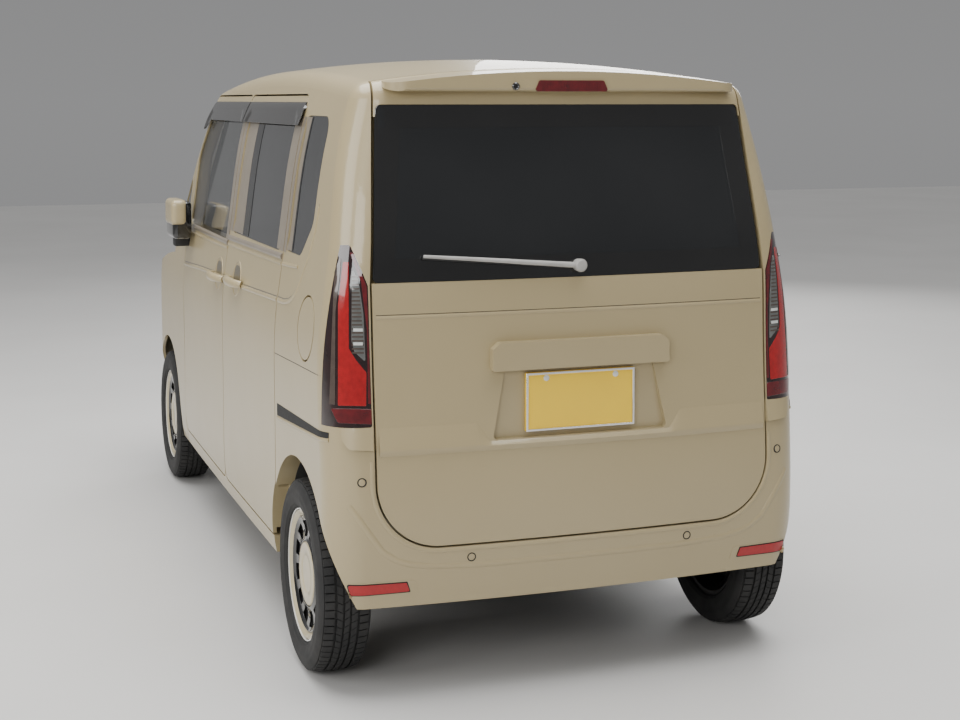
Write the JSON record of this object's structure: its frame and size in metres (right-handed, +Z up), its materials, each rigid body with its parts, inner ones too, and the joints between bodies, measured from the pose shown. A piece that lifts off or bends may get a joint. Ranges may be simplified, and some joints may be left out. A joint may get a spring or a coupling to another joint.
{
  "type": "kei car",
  "caption": "Tall box-shaped kei car with hinged front doors, sliding rear doors, top-hinged tailgate, opening bonnet, steered front wheels and a furnished cabin.",
  "frame": {"origin": "on the ground below the middle of the car's box", "axes": "+X forward, +Y to the car's left, +Z up"},
  "size_m": [3.3947, 1.6114, 1.7864],
  "materials": {
    "body_paint": "gloss",
    "under_paint": "satin",
    "glass_dark": "gloss",
    "glass_clear": "gloss",
    "lamp_red": "gloss",
    "lamp_clear": "gloss",
    "black_trim": "satin",
    "grille_black": "gloss",
    "seat_cloth": "matte",
    "dash_plastic": "matte",
    "engine_metal": "satin",
    "chassis_steel": "satin",
    "exhaust_steel": "satin",
    "tank_plastic": "matte",
    "wheel_paint": "gloss",
    "tyre_rubber": "matte",
    "plate_yellow": "satin",
    "wiper_grey": "satin"
  },
  "bodies": {
    "body": {"body_shell": "body_paint", "roof_panel": "body_paint", "floor_pan": "under_paint", "front_frame": "under_paint", "radiator_support": "under_paint", "front_fenders": "body_paint", "cowl_panel": "black_trim", "front_bumper": "body_paint", "rear_bumper": "body_paint", "grille": "grille_black", "headlamps": "lamp_clear", "tail_lamps": "lamp_red", "windscreen": "glass_clear", "side_glass": "glass_dark", "slide_doors": "body_paint", "dashboard": "dash_plastic", "steering_wheel": "dash_plastic", "front_seats": "seat_cloth", "rear_seat": "seat_cloth", "engine_block": "engine_metal", "front_subframe": "chassis_steel", "rear_axle": "chassis_steel", "exhaust": "exhaust_steel", "fuel_tank": "tank_plastic", "front_wipers": "black_trim", "front_plate": "plate_yellow"},
    "bonnet": {"bonnet": "body_paint"},
    "tailgate": {"tailgate": "body_paint", "tailgate_glass": "glass_dark", "rear_wiper": "wiper_grey", "rear_plate": "plate_yellow", "high_mount_lamp": "lamp_red"},
    "door_left": {"door_front_left": "body_paint", "door_glass_left": "glass_dark", "mirror_left": "body_paint"},
    "door_right": {"door_front_right": "body_paint", "door_glass_right": "glass_dark", "mirror_right": "body_paint"},
    "fuel_lid": {"fuel_lid": "body_paint"},
    "knuckle_left": {"knuckle_left": "chassis_steel"},
    "knuckle_right": {"knuckle_right": "chassis_steel"},
    "road_wheel_front_left": {"wheel_front_left": "wheel_paint", "tyre_front_left": "tyre_rubber"},
    "road_wheel_front_right": {"wheel_front_right": "wheel_paint", "tyre_front_right": "tyre_rubber"},
    "road_wheel_rear_left": {"wheel_rear_left": "wheel_paint", "tyre_rear_left": "tyre_rubber"},
    "road_wheel_rear_right": {"wheel_rear_right": "wheel_paint", "tyre_rear_right": "tyre_rubber"}
  },
  "joints": [
    {"name": "bonnet_hinge", "type": "hinge", "parent": "body", "child": "bonnet", "pos_m": [1.275, 0, 1.018], "axis": [0, -1, 0], "range_deg": [0, 50]},
    {"name": "tailgate_hinge", "type": "hinge", "parent": "body", "child": "tailgate", "pos_m": [-1.48, 0, 1.7441], "axis": [0, 1, 0], "range_deg": [0, 80]},
    {"name": "door_left_hinge", "type": "hinge", "parent": "body", "child": "door_left", "pos_m": [0.74, 0.752, 0.9], "axis": [0, 0, -1], "range_deg": [0, 65]},
    {"name": "door_right_hinge", "type": "hinge", "parent": "body", "child": "door_right", "pos_m": [0.74, -0.752, 0.9], "axis": [0, 0, 1], "range_deg": [0, 65]},
    {"name": "fuel_lid_hinge", "type": "hinge", "parent": "body", "child": "fuel_lid", "pos_m": [-1.299, 0.727, 1.01], "axis": [0, 0, -1], "range_deg": [0, 80]},
    {"name": "steer_left", "type": "hinge", "parent": "body", "child": "knuckle_left", "pos_m": [1.22, 0.65, 0], "axis": [0, -0.1991, 0.98], "range_deg": [-35, 35]},
    {"name": "steer_right", "type": "hinge", "parent": "body", "child": "knuckle_right", "pos_m": [1.22, -0.65, 0], "axis": [0, 0.1991, 0.98], "range_deg": [-35, 35]},
    {"name": "spin_front_left", "type": "hinge", "parent": "knuckle_left", "child": "road_wheel_front_left", "pos_m": [1.22, 0.6525, 0.278], "axis": [0, 1, 0], "continuous": true},
    {"name": "spin_front_right", "type": "hinge", "parent": "knuckle_right", "child": "road_wheel_front_right", "pos_m": [1.22, -0.6525, 0.278], "axis": [0, 1, 0], "continuous": true},
    {"name": "spin_rear_left", "type": "hinge", "parent": "body", "child": "road_wheel_rear_left", "pos_m": [-1.3, 0.6525, 0.278], "axis": [0, 1, 0], "continuous": true},
    {"name": "spin_rear_right", "type": "hinge", "parent": "body", "child": "road_wheel_rear_right", "pos_m": [-1.3, -0.6525, 0.278], "axis": [0, 1, 0], "continuous": true}
  ],
  "couplings": [
    {"joint": "steer_right", "follows": "steer_left", "ratio": 1}
  ]
}
